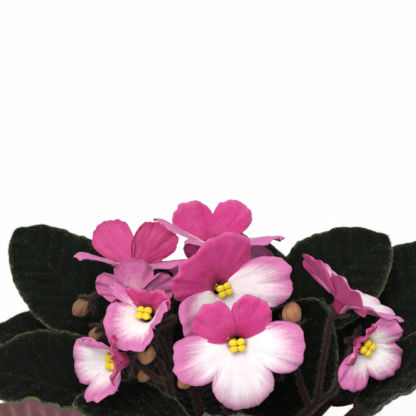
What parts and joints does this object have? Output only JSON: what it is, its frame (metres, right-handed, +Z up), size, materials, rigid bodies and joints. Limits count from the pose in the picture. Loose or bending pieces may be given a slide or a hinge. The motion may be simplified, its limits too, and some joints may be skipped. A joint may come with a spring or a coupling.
{
  "type": "potted african violet",
  "caption": "African violet in a plain clay pot: a rosette of dark velvety leaves under pink and white lobed flowers, with peach buds on hairy stalks.",
  "frame": {"origin": "centre of the flat underside of the pot, on the surface that it stands on", "axes": "+Z up; the plant's front, the side shown in the picture, faces -Y; +X is to the viewer's right"},
  "size_m": [0.1779, 0.1605, 0.1873],
  "materials": {
    "pot": "matte",
    "potting_mix": "matte",
    "crown": "matte",
    "leaf": "matte",
    "flower_stalk": "satin",
    "corolla": "satin",
    "stamens": "satin",
    "pistil": "satin",
    "bud": "satin"
  },
  "bodies": {
    "root": {"pot": "pot", "potting_mix": "potting_mix", "crown": "crown", "leaf_01": "leaf", "leaf_02": "leaf", "leaf_03": "leaf", "leaf_04": "leaf", "leaf_05": "leaf", "leaf_06": "leaf", "leaf_07": "leaf", "leaf_08": "leaf", "leaf_09": "leaf", "leaf_10": "leaf", "leaf_11": "leaf", "leaf_12": "leaf", "leaf_13": "leaf", "leaf_14": "leaf", "leaf_15": "leaf", "leaf_16": "leaf", "leaf_17": "leaf", "flower_stalk_left": "flower_stalk", "flower_stalk_front": "flower_stalk", "flower_stalk_right": "flower_stalk", "flower_stalk_back": "flower_stalk", "corolla_01": "corolla", "stamens_01": "stamens", "pistil_01": "pistil", "corolla_02": "corolla", "stamens_02": "stamens", "pistil_02": "pistil", "corolla_03": "corolla", "stamens_03": "stamens", "pistil_03": "pistil", "corolla_04": "corolla", "stamens_04": "stamens", "pistil_04": "pistil", "corolla_05": "corolla", "stamens_05": "stamens", "pistil_05": "pistil", "corolla_06": "corolla", "stamens_06": "stamens", "pistil_06": "pistil", "corolla_07": "corolla", "stamens_07": "stamens", "pistil_07": "pistil", "corolla_08": "corolla", "stamens_08": "stamens", "pistil_08": "pistil", "corolla_09": "corolla", "stamens_09": "stamens", "pistil_09": "pistil", "corolla_10": "corolla", "stamens_10": "stamens", "pistil_10": "pistil", "bud_01": "bud", "bud_02": "bud", "bud_03": "bud", "bud_04": "bud", "bud_05": "bud", "bud_06": "bud"}
  },
  "joints": []
}
